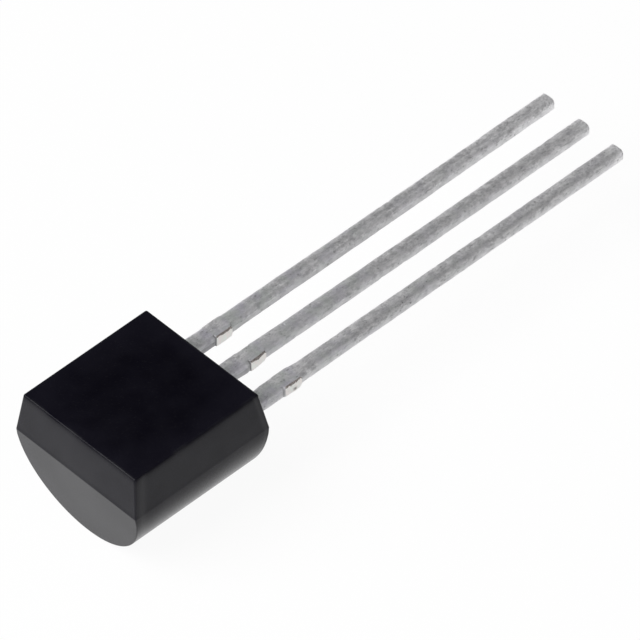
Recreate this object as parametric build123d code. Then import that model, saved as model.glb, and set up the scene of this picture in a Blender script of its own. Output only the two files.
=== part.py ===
# Three-lead voltage reference in a moulded package with a flat front and a half-round back.
# It lies on its round back.  Sizes are in millimetres: +X runs across the row of leads, +Y along
# the leads towards their tips, and +Z up, out of the flat front face.  The origin is under the
# middle of the whole part, on the surface that the round back lies on.
from build123d import *
import os
from math import radians, sqrt, tan

# Moulded body: two drafted halves that meet at the parting plane of the mould.
# The back is a half circle under a short straight wall, so its radius follows the width there.
flat_width = 4.23
flat_length = 4.33
parting_depth = 1.27
back_wall = 0.05
side_flare = 0.155
closed_end_flare = 0.165
lead_end_flare = 0.22
back_end_draft = 8.0
corner_radius = 0.04
flat_corner_radius = 0.03

# Ejector mark: the shallow round seat that the mould's pin leaves in the round back
ejector_mark_diameter = 1.0
ejector_mark_depth = 0.07

# Leads: stamped from one sheet whose front lies in the parting plane, and cut from the dam bar
lead_pitch = 1.27
lead_width = 0.45
lead_thickness = 0.38
lead_length = 13.58
lead_edge_radius = 0.115
tip_bevel = 0.05
dam_bar_distance = 1.19
dam_bar_width = 0.61
dam_stub_height = 0.04
dam_stub_roll = 0.03

# Inner lead frame: bond posts on the outer leads, die pad on the middle one
neck_length = 0.60
post_length = 0.95
post_inner_reach = 0.62
post_outer_reach = 0.42
post_corner_radius = 0.08
lock_notch_radius = 0.15
post_to_pad_gap = 0.14
pad_shoulder_length = 0.31
pad_width = 1.90
pad_length = 1.45
pad_corner_radius = 0.15

# Die, and the layer of adhesive that holds it to the pad
die_width = 1.05
die_length = 0.95
die_thickness = 0.28
die_attach_thickness = 0.03
die_attach_margin = 0.05
die_to_shoulder = 0.45

# Bond wires: a ball on the die, a loop, and a stitch on the lead frame
wire_diameter = 0.05
ball_diameter = 0.11
ball_height = 0.035
stitch_diameter = 0.12
stitch_height = 0.03
loop_height = 0.27
loop_radius = 0.07
ball_inset = 0.14
stitch_inset = 0.30
ground_stitch_distance = 0.40

# Places that follow from the sizes above
parting_width = flat_width + 2 * side_flare
parting_length = closed_end_flare + flat_length + lead_end_flare
closed_end = -(parting_length + lead_length) / 2
lead_end = closed_end + parting_length
tip = lead_end + lead_length
back_radius = parting_width / 2
parting_z = back_radius + back_wall
wall_lean = back_wall * tan(radians(back_end_draft))
flat_z = parting_z + parting_depth
lead_back = parting_z - lead_thickness
neck_end = lead_end - neck_length
post_end = neck_end - post_length
shoulder_start = post_end - post_to_pad_gap
pad_start = shoulder_start - pad_shoulder_length
pad_end = pad_start - pad_length
die_start = pad_start + pad_shoulder_length - die_to_shoulder
die_middle = die_start - die_length / 2
adhesive_top = parting_z + die_attach_thickness
die_top = adhesive_top + die_thickness
lead_places = {"left": -lead_pitch, "middle": 0, "right": lead_pitch}
ON_FLOOR = (Align.CENTER, Align.CENTER, Align.MIN)


def round_rectangle(width, start, end, radius, z):
    """Rectangle with round corners at height z, from start to end along Y."""
    return Location((0, (start + end) / 2, z)) * RectangleRounded(width, end - start, radius)


def front_half():
    """Body in front of the parting plane: all four sides lean in towards the flat face."""
    flat_start = closed_end + closed_end_flare
    flat_end = lead_end - lead_end_flare
    parting = round_rectangle(parting_width, closed_end, lead_end, corner_radius, parting_z)
    flat = round_rectangle(flat_width, flat_start, flat_end, flat_corner_radius, flat_z)
    return loft([parting, flat])


def straight_wall():
    """Body between the parting plane and the half circle, where only the ends lean in."""
    parting = round_rectangle(parting_width, closed_end, lead_end, corner_radius, parting_z)
    below = round_rectangle(parting_width, closed_end + wall_lean, lead_end - wall_lean,
                            corner_radius, back_radius)
    return loft([parting, below])


def end_outline(lean, z):
    """Outline that gives the back its ends and round corners, and is open far past its sides."""
    side = back_radius
    far_side = 2 * side
    end = parting_length / 2 - lean
    bend = corner_radius * (1 - 1 / sqrt(2))
    middle = (closed_end + lead_end) / 2
    with BuildSketch(Plane((0, middle, z))) as plan:
        with BuildLine() as quarter:
            Line((0, end), (side - corner_radius, end))
            ThreePointArc((side - corner_radius, end), (side - bend, end - bend),
                          (side, end - corner_radius))
            Polyline((side, end - corner_radius), (far_side, end - corner_radius), (far_side, 0))
            mirror(quarter.line, Plane.YZ)
            mirror(quarter.line, Plane.XZ)
        make_face()
    return plan.sketch


def half_round():
    """Back of the body: a half-round bar cut by two drafted ends."""
    with BuildSketch(Plane((0, lead_end, back_radius), x_dir=(1, 0, 0), z_dir=(0, -1, 0))) as section:
        Circle(back_radius)
        Rectangle(2 * back_radius, back_radius, align=(Align.CENTER, Align.MIN), mode=Mode.SUBTRACT)
    bar = extrude(section.sketch, parting_length)
    lean = parting_z * tan(radians(back_end_draft))
    return bar & loft([end_outline(wall_lean, back_radius), end_outline(lean, 0)])


def ejector_mark():
    """Short cylinder that sinks the ejector's round seat into the lowest line of the back."""
    middle = (closed_end + lead_end) / 2
    return Location((0, middle, 0)) * Cylinder(ejector_mark_diameter / 2, 2 * ejector_mark_depth)


def lead_section(x, y, shrink):
    """Cross-section of a lead at y, smaller all round by the amount shrink."""
    centre = (x, y, (parting_z + lead_back) / 2)
    section = RectangleRounded(lead_width - 2 * shrink, lead_thickness - 2 * shrink,
                               lead_edge_radius - shrink)
    return Plane(centre, x_dir=(1, 0, 0), z_dir=(0, 1, 0)) * section


def shank(x):
    """The bar of one lead, from inside the body to its bevelled tip."""
    bevel_start = tip - tip_bevel
    bar = extrude(lead_section(x, neck_end, 0), bevel_start - neck_end)
    return bar + loft([lead_section(x, bevel_start, 0), lead_section(x, tip, tip_bevel)])


def dam_stub(x, side):
    """What is left of the dam bar on one side of a lead, rolled over along its front edge."""
    reach = lead_width / 2 + dam_stub_height
    stub = Box(reach, dam_bar_width, lead_thickness, align=(Align.MIN, Align.MIN, Align.MIN))
    front_edge = stub.edges().filter_by(Axis.Y).group_by(Axis.Z)[-1].sort_by(Axis.X)[-1]
    stub = chamfer(front_edge, dam_stub_roll)
    if side < 0:
        stub = mirror(stub, Plane.YZ)
    return Location((x, lead_end + dam_bar_distance, lead_back)) * stub


def stamped(points, corner, notches):
    """Sheet of the lead frame: an outline with eased end corners, less its round lock notches."""
    with BuildSketch(Plane.XY.offset(lead_back)) as sheet:
        with BuildLine():
            Polyline(*points, close=True)
        make_face()
        fillet(sheet.vertices().group_by(Axis.Y)[0], corner)
        with Locations(*notches):
            Circle(lock_notch_radius, mode=Mode.SUBTRACT)
    return extrude(sheet.sketch, lead_thickness)


def bond_post(side):
    """Widened end of an outer lead, with a lock notch that the moulding grips."""
    inner = side * (lead_pitch - post_inner_reach)
    outer = side * (lead_pitch + post_outer_reach)
    points = [(inner, neck_end), (outer, neck_end), (outer, post_end), (inner, post_end)]
    return stamped(points, post_corner_radius, [(outer, (neck_end + post_end) / 2)])


def die_pad():
    """Pad on the middle lead that carries the die, with a lock notch in each side."""
    neck = lead_width / 2
    half = pad_width / 2
    right_side = [(neck, neck_end), (neck, shoulder_start), (half, pad_start), (half, pad_end)]
    left_side = [(-x, y) for x, y in reversed(right_side)]
    notch_y = pad_end + pad_corner_radius + lock_notch_radius
    return stamped(right_side + left_side, pad_corner_radius, [(half, notch_y), (-half, notch_y)])


def lead(name):
    """One stamped lead: inner end, shank and the stubs of the dam bar."""
    x = lead_places[name]
    inner_end = die_pad() if name == "middle" else bond_post(1 if x > 0 else -1)
    return inner_end + shank(x) + dam_stub(x, 1) + dam_stub(x, -1)


def die_block(width, length, thickness, bottom):
    """Flat block centred on the die's place, standing at the height bottom."""
    return Location((0, die_middle, bottom)) * Box(width, length, thickness, align=ON_FLOOR)


def silicon_die():
    """The sawn die on its layer of adhesive."""
    return die_block(die_width, die_length, die_thickness, adhesive_top)


def die_attach():
    """Adhesive layer, a little larger than the die on every side."""
    margin = 2 * die_attach_margin
    return die_block(die_width + margin, die_length + margin, die_attach_thickness, parting_z)


def bond_wire(ball_place, stitch_place):
    """Ball on the die, loop, and stitch on the lead frame, as one drawn wire."""
    start = Vector(*ball_place, die_top)
    loop_top = start + Vector(0, 0, loop_height)
    end = Vector(*stitch_place, parting_z)
    path = FilletPolyline(start, loop_top, end, radius=loop_radius)
    wire = sweep(Plane(start) * Circle(wire_diameter / 2), path=path)
    ball = Location(start) * Cylinder(ball_diameter / 2, ball_height, align=ON_FLOOR)
    stitch = Location(end) * Cylinder(stitch_diameter / 2, stitch_height, align=ON_FLOOR)
    above_frame = Box(parting_width, parting_length, flat_z, align=ON_FLOOR)
    return (wire + ball + stitch) & (Location((0, post_end, parting_z)) * above_frame)


def bond_wires():
    """Wires from the die to both posts, and from the die down to its own pad."""
    ball_x = die_width / 2 - ball_inset
    ball_y = die_start - ball_inset
    post_x = lead_pitch - (post_inner_reach - post_outer_reach) / 2
    post_y = post_end + stitch_inset
    return {
        "left_bond_wire": bond_wire((-ball_x, ball_y), (-post_x, post_y)),
        "right_bond_wire": bond_wire((ball_x, ball_y), (post_x, post_y)),
        "ground_bond_wire": bond_wire((0, ball_y), (0, die_start + ground_stitch_distance)),
    }


def moulded_body(inner_pieces):
    """Epoxy block, moulded round everything that it holds."""
    return front_half() + straight_wall() + half_round() - ejector_mark() - inner_pieces


def main():
    """Build every node and write each to its own STEP file."""
    nodes = {f"{name}_lead": lead(name) for name in lead_places}
    nodes["silicon_die"] = silicon_die()
    nodes["die_attach"] = die_attach()
    nodes.update(bond_wires())
    nodes["moulded_body"] = moulded_body(list(nodes.values()))
    os.makedirs("parts", exist_ok=True)
    for name, shape in nodes.items():
        export_step(shape, f"parts/{name}.step")


main()
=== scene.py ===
"""Looks of a three-lead voltage reference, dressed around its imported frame.

The part lies on its round back.  Lengths are in metres: +X runs across the row of leads, +Y along
them towards their tips, and +Z up out of the flat front.  The moulded body and the three leads are
surfaces worked out here over the frame's own sizes.  The die, its adhesive and the bond wires keep
their solids and get their finishes.
"""
from math import pi, radians

import bmesh
import bpy
import numpy as np
from bpy.props import FloatProperty, FloatVectorProperty, IntProperty, PointerProperty
from mathutils import Matrix, Vector


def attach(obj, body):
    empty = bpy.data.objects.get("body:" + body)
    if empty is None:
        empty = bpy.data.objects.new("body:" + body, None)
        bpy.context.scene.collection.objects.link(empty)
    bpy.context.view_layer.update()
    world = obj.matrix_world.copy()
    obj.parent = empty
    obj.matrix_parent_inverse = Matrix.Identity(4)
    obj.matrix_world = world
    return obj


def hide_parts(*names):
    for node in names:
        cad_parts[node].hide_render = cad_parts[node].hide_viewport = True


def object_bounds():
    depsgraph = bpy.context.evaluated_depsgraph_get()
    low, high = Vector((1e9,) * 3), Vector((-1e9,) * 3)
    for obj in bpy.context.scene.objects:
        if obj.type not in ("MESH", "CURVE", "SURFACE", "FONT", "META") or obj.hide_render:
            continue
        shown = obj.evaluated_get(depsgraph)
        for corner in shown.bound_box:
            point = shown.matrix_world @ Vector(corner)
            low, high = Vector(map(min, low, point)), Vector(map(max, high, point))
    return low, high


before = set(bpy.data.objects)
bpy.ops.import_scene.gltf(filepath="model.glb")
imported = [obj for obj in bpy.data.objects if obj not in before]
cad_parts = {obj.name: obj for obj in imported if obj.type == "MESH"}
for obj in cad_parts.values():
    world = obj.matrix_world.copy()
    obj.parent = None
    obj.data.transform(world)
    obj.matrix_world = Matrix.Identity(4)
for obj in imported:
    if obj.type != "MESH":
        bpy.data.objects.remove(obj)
cad_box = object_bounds()

bl_info = {
    "name": "Three-lead voltage reference",
    "version": (1, 0, 0),
    "blender": (4, 5, 0),
    "location": "3D View > Sidebar > Reference",
    "description": "Dresses a moulded three-lead voltage reference around its frame",
    "category": "Object",
}

MM = 0.001
# How close points count as one, how close a lead's stations do, and how close to a plane is on it.
SAME_PLACE = 1e-6 * MM
SAME_STATION = 1e-4 * MM
SAME_PLANE = 1e-3 * MM
LEAD_SIDES = {"left": -1, "middle": 0, "right": 1}
BODY = "root"


def own(values, name):
    """The named lead's own one of three values, which stand from left to right."""
    return values[LEAD_SIDES[name] + 1]


# ---------------------------------------------------------------- sizes read from the frame

def node_points(node):
    """Corner points of a CAD node's mesh, one row for each."""
    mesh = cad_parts[node].data
    points = np.empty(3 * len(mesh.vertices))
    mesh.vertices.foreach_get("co", points)
    return points.reshape(-1, 3)


def body_measures():
    """Sizes of the moulded body: its flat face, its parting plane, its round back and its two ends."""
    points = node_points("moulded_body")
    low, high = points.min(axis=0), points.max(axis=0)
    flat = points[points[:, 2] > high[2] - SAME_PLANE]
    side = points[points[:, 0] > high[0] - SAME_PLANE]
    return {
        "half_width": high[0],
        "closed_end": low[1],
        "lead_end": high[1],
        "parting_z": side[:, 2].max(),
        "round_z": low[2] + high[0],
        "flat_z": high[2],
        "flat_half_width": flat[:, 0].max(),
        "flat_start": flat[:, 1].min(),
        "flat_end": flat[:, 1].max(),
    }


def lead_measures(name):
    """Sizes of one lead: its plain bar, the stubs of the dam bar and its wider inner end."""
    points = node_points(f"{name}_lead")
    low, high = points.min(axis=0), points.max(axis=0)
    lead_end = body_measures()["lead_end"]
    bar = points[points[:, 1] > (lead_end + high[1]) / 2]
    centre = (bar[:, 0].min() + bar[:, 0].max()) / 2
    half = (bar[:, 0].max() - bar[:, 0].min()) / 2
    beside = np.abs(points[:, 0] - centre)
    wide = beside > half + SAME_PLANE
    inside = points[:, 1] < lead_end
    stub = points[wide & ~inside]
    inner = points[wide & inside]
    on_bar_side = np.abs(beside - half) < SAME_PLANE
    return {
        "centre": centre,
        "lead_end": lead_end,
        "half_width": half,
        "back": low[2],
        "front": high[2],
        "inner_end": low[1],
        "wide_end": inner[:, 1].max(),
        "neck_end": points[on_bar_side & inside, 1].min(),
        "reach_left": centre - low[0],
        "reach_right": high[0] - centre,
        "stub_start": stub[:, 1].min(),
        "tip": high[1],
    }


# ---------------------------------------------------------------- surfaces

def eased(count):
    """Steps from 0 to 1 that lie close together at both ends: half of one minus a cosine."""
    return (1 - np.cos(np.linspace(0, pi, count))) / 2


def bell(distance):
    """Bell curve: e to the power of minus the square of the distance, so 1 at no distance."""
    return np.exp(-distance ** 2)


def bend(start, corner, end, count):
    """Rounds a corner: start, corner and end weighted by (1-u)^2, 2u(1-u) and u^2 as u goes 0 to 1."""
    u = np.linspace(0, 1, count)[:, None]
    return (1 - u) ** 2 * start + 2 * u * (1 - u) * corner + u ** 2 * end


def smooth_noise(along, around, turns, seed):
    """Random heights at whole numbers, joined by smooth steps; it repeats every so many turns around."""
    row, column = np.floor(along).astype(int), np.floor(around).astype(int)
    heights = np.random.default_rng(seed).uniform(-1, 1, (row.max() - row.min() + 2, turns))
    u, v = along - row, around - column
    u, v = u * u * (3 - 2 * u), v * v * (3 - 2 * v)
    row = row - row.min()
    here, there = column % turns, (column + 1) % turns
    near = heights[row, here] * (1 - v) + heights[row, there] * v
    far = heights[row + 1, here] * (1 - v) + heights[row + 1, there] * v
    return near * (1 - u) + far * u


def grid_faces(rows, columns, close_rows=False, close_columns=False):
    """Four-sided faces between neighbouring points of a grid, which may close on itself either way."""
    row = np.arange(rows if close_rows else rows - 1)[:, None]
    column = np.arange(columns if close_columns else columns - 1)[None, :]
    next_row, next_column = (row + 1) % rows, (column + 1) % columns
    corners = [row * columns + column, row * columns + next_column,
               next_row * columns + next_column, next_row * columns + column]
    return np.stack(corners, axis=-1)


def welded(points, faces):
    """Merges points that lie in one place, and gives back points, faces and which points were kept."""
    kept, new_number = np.unique(np.round(points / SAME_PLACE), axis=0, return_index=True,
                                 return_inverse=True)[1:]
    faces = new_number.reshape(-1)[faces]
    folded = faces == np.roll(faces, -1, axis=1)
    lost = folded.sum(axis=1)
    crossed = (faces[:, 0] == faces[:, 2]) | (faces[:, 1] == faces[:, 3])
    quads = faces[(lost == 0) & ~crossed]
    triangles = faces[lost == 1][~folded[lost == 1]].reshape(-1, 3)
    return points[kept], quads.tolist() + triangles.tolist(), kept


def surface_object(name, points, faces, attributes):
    """Closed smooth mesh from grid points and faces, with its point attributes and outward faces."""
    points, faces, kept = welded(points, faces)
    mesh = bpy.data.meshes.new(name)
    mesh.from_pydata(points, [], faces)
    for key, values in attributes.items():
        layer = mesh.attributes.new(key, "FLOAT", "POINT")
        layer.data.foreach_set("value", values[kept].astype(np.float32))
    shell = bmesh.new()
    shell.from_mesh(mesh)
    bmesh.ops.recalc_face_normals(shell, faces=shell.faces)
    shell.to_mesh(mesh)
    shell.free()
    mesh.shade_smooth()
    piece = bpy.data.objects.new(name, mesh)
    bpy.context.scene.collection.objects.link(piece)
    return piece


def half_outline(rows, end_steps, corner_steps, side_steps):
    """Half of a rectangle with round corners for each row: out along one end, along the side, back in.

    A row is half width, low end, high end, corner radius, lean of the ends, turn, height and scale.
    The distance out is turned about the long axis, so x is out times cos(turn) and z is the height
    less out times sin(turn).  A lean moves the ends in by that share of the distance out.
    """
    half, low, high, radius, lean, turn, height, scale = (value[:, None] for value in rows.T)
    end = eased(end_steps)[None, :]
    angle = np.linspace(0, pi / 2, corner_steps + 1)[None, 1:]
    side = eased(side_steps)[None, 1:-1]
    out_end = end * (half - radius)
    out_corner = half - radius + radius * np.sin(angle)
    in_corner = radius * (1 - np.cos(angle))
    low_end = low + lean * out_end
    low_corner = low + in_corner + lean * out_corner
    high_end = high - lean * out_end
    high_corner = high - in_corner - lean * out_corner
    side_start, side_stop = low_corner[:, -1:], high_corner[:, -1:]
    along_side = side_start + side * (side_stop - side_start)
    out = np.hstack([out_end, out_corner, half + 0 * side, out_corner[:, ::-1], out_end[:, ::-1]])
    y = np.hstack([low_end, low_corner, along_side, high_corner[:, ::-1], high_end[:, ::-1]])
    middle = (low + high) / 2
    x = out * np.cos(turn) * scale
    z = height - out * np.sin(turn)
    y = middle + (y - middle) * scale
    on_corner = np.hstack([0 * end[0], 1 + 0 * angle[0], 0 * side[0], 1 + 0 * angle[0], 0 * end[0]])
    return np.stack([x, y, z], axis=-1), on_corner


def body_rows(size, shape):
    """Rows of the body's surface, from the middle of the flat face over one side and round the back.

    Each row is a set of numbers for half_outline.  The front runs in straight lines from the flat's
    outline to the parting plane, a short straight wall follows, and each edge is rounded by a bend.
    The back turns through half a circle while its ends lean in and its round corners run out.
    """
    flat = np.array([size["flat_half_width"], size["flat_start"], size["flat_end"],
                     shape.flat_corner_radius, 0, 0, size["flat_z"], 1])
    parting = np.array([size["half_width"], size["closed_end"], size["lead_end"],
                        shape.corner_radius, 0, 0, size["parting_z"], 1])
    depth = size["flat_z"] - size["parting_z"]
    ease = shape.edge_radius
    inset = flat + ease * np.array([-1, 1, -1, -1, 0, 0, 0, 0])
    scales = eased(shape.flat_rows)[:-1, None]
    face = inset * np.append(np.ones((1, 7)), [[0]]) + scales * np.eye(8)[7]
    top_share, seam_share = ease / depth, shape.seam_radius / depth
    front_edge = bend(inset, flat, flat + top_share * (parting - flat), shape.edge_steps)
    shares = top_share + (1 - seam_share - top_share) * eased(shape.side_rows)[1:, None]
    side = flat + shares * (parting - flat)
    wall_depth = size["parting_z"] - size["round_z"]
    lean = np.tan(shape.back_draft)
    brink = parting + wall_depth * np.array([0, lean, -lean, 0, 0, 0, -1, 0])
    wall = parting + eased(shape.edge_steps)[:, None] * (brink - parting)
    seam_end = parting + shape.seam_radius / wall_depth * (brink - parting)
    seam = bend(side[-1], parting, seam_end, shape.edge_steps)[1:]
    wall = wall[wall[:, 6] < seam_end[6]]
    turn = np.linspace(0, pi, shape.back_rows)
    round_corner = shape.corner_radius
    past_corner = np.maximum(round_corner - size["half_width"] * (1 - np.abs(np.cos(turn))), 0)
    left_of_corner = round_corner - np.sqrt(round_corner ** 2 - past_corner ** 2)
    back = np.repeat(brink[None, :], shape.back_rows, axis=0)
    back[:, 3] = np.maximum(left_of_corner, shape.back_edge_radius)
    back[:, 4] = lean * np.sin(turn)
    back[:, 5] = turn
    one_side = np.vstack([face, front_edge, side, seam, wall[:-1]])
    other_side = one_side[::-1].copy()
    other_side[:, 5] = pi - other_side[:, 5]
    edge = np.concatenate([0 * scales[:, 0], np.ones(len(front_edge)), 0 * side[:, 0],
                           np.ones(len(seam)), 0 * wall[:-1, 0]])
    on_edge = np.concatenate([edge, np.zeros(len(back)), edge[::-1]])
    margin = np.concatenate([scales[:, 0], np.ones(len(edge) - len(scales))])
    margin = np.concatenate([margin, np.ones(len(back)), margin[::-1]])
    first_back = len(one_side)
    return np.vstack([one_side, back, other_side]), on_edge, margin, first_back


def seat_patch(ring, middle, size, shape):
    """Ejector's seat: spokes from the loop ring of grid points in to the seat's edge, wall and floor.

    Along a spoke the place moves in a straight line to the seat's circle while the height follows
    the round back; then it climbs the wall and runs in over the flat floor to the middle.
    """
    radius, depth, ease = shape.seat_diameter / 2, shape.seat_depth, shape.seat_edge_radius
    angle = np.arctan2(ring[:, 1] - middle, ring[:, 0])
    circle = np.stack([np.cos(angle), np.sin(angle)], axis=-1)
    centre = np.array([0, middle])

    def back_height(place):
        return size["round_z"] - np.sqrt(size["half_width"] ** 2 - place[..., 0] ** 2)

    share = eased(shape.seat_rings)[:, None, None]
    edge = centre + (radius + ease) * circle
    land = ring[None, :, :2] + share * (edge - ring[:, :2])[None]
    land = np.dstack([land, back_height(land)])
    land[0] = ring
    rim = centre + radius * circle
    rim_height = back_height(rim)
    corner = np.column_stack([rim, rim_height])
    below = np.column_stack([rim, rim_height + ease])
    steps = shape.edge_steps
    brink = np.stack([bend(a, b, c, steps) for a, b, c in zip(land[-1], corner, below)], axis=1)[1:]
    foot = np.column_stack([rim, np.full(len(rim), depth - ease / 2)])
    toe = np.column_stack([rim, np.full(len(rim), depth)])
    floor = np.column_stack([centre + (radius - ease / 2) * circle, np.full(len(rim), depth)])
    root = np.stack([bend(a, b, c, steps) for a, b, c in zip(foot, toe, floor)], axis=1)
    inward = (1 - eased(shape.seat_rings))[1:, None, None]
    pole = np.array([0, middle, depth])
    disc = pole + inward * (floor - pole)[None]
    return np.concatenate([land, brink, root, disc])


def seat_window(grid, first_back, middle, shape):
    """First and last row, then first and last column, of the grid's points round the seat."""
    reach = shape.seat_diameter / 2 + shape.seat_margin
    lowest = first_back + shape.back_rows // 2
    on_back = grid[first_back:first_back + shape.back_rows, grid.shape[1] // 2, 0]
    near_rows = np.flatnonzero(np.abs(on_back) < reach) + first_back
    near_columns = np.flatnonzero(np.abs(grid[lowest, :, 1] - middle) < reach)
    return near_rows[0], near_rows[-1], near_columns[0], near_columns[-1]


def body_surface(size, shape):
    """Whole outer surface of the moulded body, with the ejector's seat let into its lowest line."""
    rows, on_edge, margin, first_back = body_rows(size, shape)
    grid, on_corner = half_outline(rows, shape.end_columns, shape.corner_columns, shape.side_columns)
    count, columns = grid.shape[:2]
    middle = (size["closed_end"] + size["lead_end"]) / 2
    top, bottom, left, right = seat_window(grid, first_back, middle, shape)
    ring = np.concatenate([grid[top, left:right], grid[top:bottom, right],
                           grid[bottom, right:left:-1], grid[bottom:top:-1, left]])
    patch = seat_patch(ring, middle, size, shape)
    faces = grid_faces(count, columns, close_rows=True)
    kept = np.ones(faces.shape[:2], bool)
    kept[top:bottom, left:right] = False
    patch_faces = grid_faces(*patch.shape[:2], close_columns=True).reshape(-1, 4) + count * columns
    turned = (rows[:, 5:6] > 0) & (rows[:, 5:6] < pi)
    over_grid = {
        "edge": np.maximum(on_edge[:, None], on_corner[None, :] * turned),
        "margin": np.where(margin[:, None] < 1, face_margin(grid, middle, size), 1),
        "sheen": body_sheen(grid, margin, size, shape),
    }
    over_patch = {"edge": 0, "margin": 1, "sheen": 0}
    points = np.concatenate([grid.reshape(-1, 3), patch.reshape(-1, 3)])
    rest = len(points) - count * columns
    attributes = {key: np.append(values.ravel(), np.full(rest, over_patch[key], float))
                  for key, values in over_grid.items()}
    return points, np.concatenate([faces[kept], patch_faces]), attributes


# The epoxy mixes in its lighter compound by this nearness, as a painted reflection towards the flat's rim.
def face_margin(grid, middle, size):
    """How near each point lies to the flat's rim: 1 - (1 - u^2)(1 - v^2), where u and v go from 0 in
    the middle to 1 at the rim, across the flat and along it."""
    across = grid[..., 0] / size["flat_half_width"]
    along = 2 * (grid[..., 1] - middle) / (size["flat_end"] - size["flat_start"])
    return 1 - (1 - np.minimum(across ** 2, 1)) * (1 - np.minimum(along ** 2, 1))


def body_sheen(grid, margin, size, shape):
    """How much stronger the gloss is at each point of the grid.

    It is weaker along the flat's rim, in a line above the parting line and on the upright edges of
    the sides, and stronger in a strip beside each of those edges.  The rim, the line and the strips
    are bell curves of the distance from their middles, counted in their own widths.  The flat itself
    keeps its plain gloss.
    """
    first = shape.end_columns + shape.corner_columns - 1
    last = first + shape.side_columns - 1
    above = (grid[..., 2] - size["parting_z"]) / shape.seam_line
    sheen = -shape.seam_dulling * bell(above - 1)
    sheen[:, first:last + 1] *= shape.side_seam
    below = (size["flat_z"] - grid[..., 2]) / shape.rim_line
    sheen -= shape.rim_dulling * bell(below)
    for column, inward, width in ((first, 1, shape.closed_strip), (last, -1, shape.lead_strip)):
        away = inward * (grid[..., 1] - grid[:, column:column + 1, 1]) / width
        lit = shape.strip_polish * bell(away - shape.strip_place)
        sheen[:, first:last + 1] += lit[:, first:last + 1]
        sheen[:, column] -= shape.seam_dulling
    return sheen * (margin[:, None] == 1)


def lead_section(left, right, back, front, left_round, right_round, side_steps, corner_steps):
    """Rectangle with round corners at every station: across the front, down, across the back and up.

    Both corners of a side have that side's radius.  Beside the points' x and z it gives the way each
    column faces, how far up a side it lies and whether it is on a corner.
    """
    run = eased(side_steps)
    angle = np.linspace(0, pi / 2, corner_steps + 1)[1:-1]
    left, right, back, front, left_round, right_round = (
        value[:, None] for value in (left, right, back, front, left_round, right_round))
    across = left + left_round + run * (right - left - left_round - right_round)
    down_right = front - right_round - run * (front - back - 2 * right_round)
    up_left = back + left_round + run * (front - back - 2 * left_round)
    sine, cosine = np.sin(angle), np.cos(angle)
    flat, level, corner = 0 * across, 0 * run, 0 * angle + 1
    return {
        "x": np.hstack([across, right - right_round * (1 - sine), right + flat,
                        right - right_round * (1 - cosine), across[:, ::-1],
                        left + left_round * (1 - sine), left + flat,
                        left + left_round * (1 - cosine)]),
        "z": np.hstack([front + flat, front - right_round * (1 - cosine), down_right,
                        back + right_round * (1 - sine), back + flat,
                        back + left_round * (1 - cosine), up_left,
                        front - left_round * (1 - sine)]),
        "facing_x": np.concatenate([level, sine, level + 1, cosine, level, -sine, level - 1, -cosine]),
        "facing_z": np.concatenate([level + 1, cosine, level, -sine, level - 1, -cosine, level, sine]),
        "height": np.concatenate([level + 1, corner, 1 - run, 0 * corner, level, 0 * corner, run,
                                  corner]),
        "on_corner": np.concatenate([level, corner, level, corner, level, corner, level, corner]),
    }


# ---------------------------------------------------------------- leads

# Both edges of each lead beside the dam bar, as cut: places along the lead from where the bar
# began, and how far the edge stands out there, in millimetres.  The left edge comes first.
STUB_EDGES = {
    "left": ([(-1.10, 0.035), (-0.50, 0.030), (-0.10, 0.015), (0.02, 0.024), (0.60, 0.026),
              (0.66, 0.010)],
             [(-0.50, 0.005), (0.30, 0.012), (0.60, 0.004), (0.64, -0.027), (2.60, -0.035),
              (4.50, -0.012)]),
    "middle": ([(-1.05, 0.030), (-0.04, 0.050), (0.05, 0.020), (0.42, 0.020), (0.47, 0.040),
                (1.60, 0.015)],
               [(-0.50, 0.010), (-0.08, 0.034), (0.04, 0.014), (0.35, 0.004), (0.62, -0.025),
                (1.10, -0.018)]),
    "right": ([(-0.60, 0.035), (-0.40, 0.060), (0.12, 0.068), (0.60, 0.066), (0.66, 0.045),
               (0.90, 0.018)],
              [(-0.50, 0.038), (0.26, 0.026), (0.46, 0.036), (0.60, 0.026), (0.76, -0.008),
               (1.30, -0.008)]),
}
# Where each sheared face begins and ends in millimetres from there, left edge first, and how much
# of its height the rolled lip takes: at least, at most, and how far along it is thickest.
STUB_FACES = {"left": ((0.02, 0.63), (0.035, 0.62)), "middle": ((0.03, 0.43), (0.07, 0.64)),
              "right": ((0.10, 0.61), (0.055, 0.68))}
LIP_SHARES = {"left": (0.07, 0.22, 0.60), "middle": (0.10, 0.26, 0.50), "right": (0.08, 0.17, 0.45)}
# A small pit in a sheared face: its place in millimetres from there, share of the height and radius.
NICKS = {"right": (0.41, 0.21, 0.055)}
# Half width of a lip's thickest place, as a share of the sheared face's length.
LIP_SPREAD = 0.35
# How many slow waves and how many fine bumps go round a lead's section.
WAVES_AROUND, BUMPS_AROUND = 4, 24
# Stations at both sides of each corner of a lead's edge, in step lengths from it.
CLOSE_STATIONS = (-2, -1, -0.5, 0, 0.5, 1, 2)


def edge_places(name, size, side, shape):
    """Corners of one edge of a lead: places along it, and distances from the lead's centre line."""
    half = size["half_width"]
    reach = size["reach_right"] if side > 0 else size["reach_left"]
    corners = [(size["inner_end"], reach), (size["wide_end"], reach)]
    if name == "middle":
        corners.append((size["neck_end"], half))
    else:
        corners.append((size["wide_end"] + shape.step_length, half))
    stub = STUB_EDGES[name][1 if side > 0 else 0]
    corners += [(size["stub_start"] + place * MM, half + out * MM) for place, out in stub]
    corners.append((size["tip"], half))
    return np.array(corners).T


def inner_corner_radius(name, shape):
    """Radius of the corners at a lead's inner end."""
    return shape.pad_corner_radius if name == "middle" else shape.post_corner_radius


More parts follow.
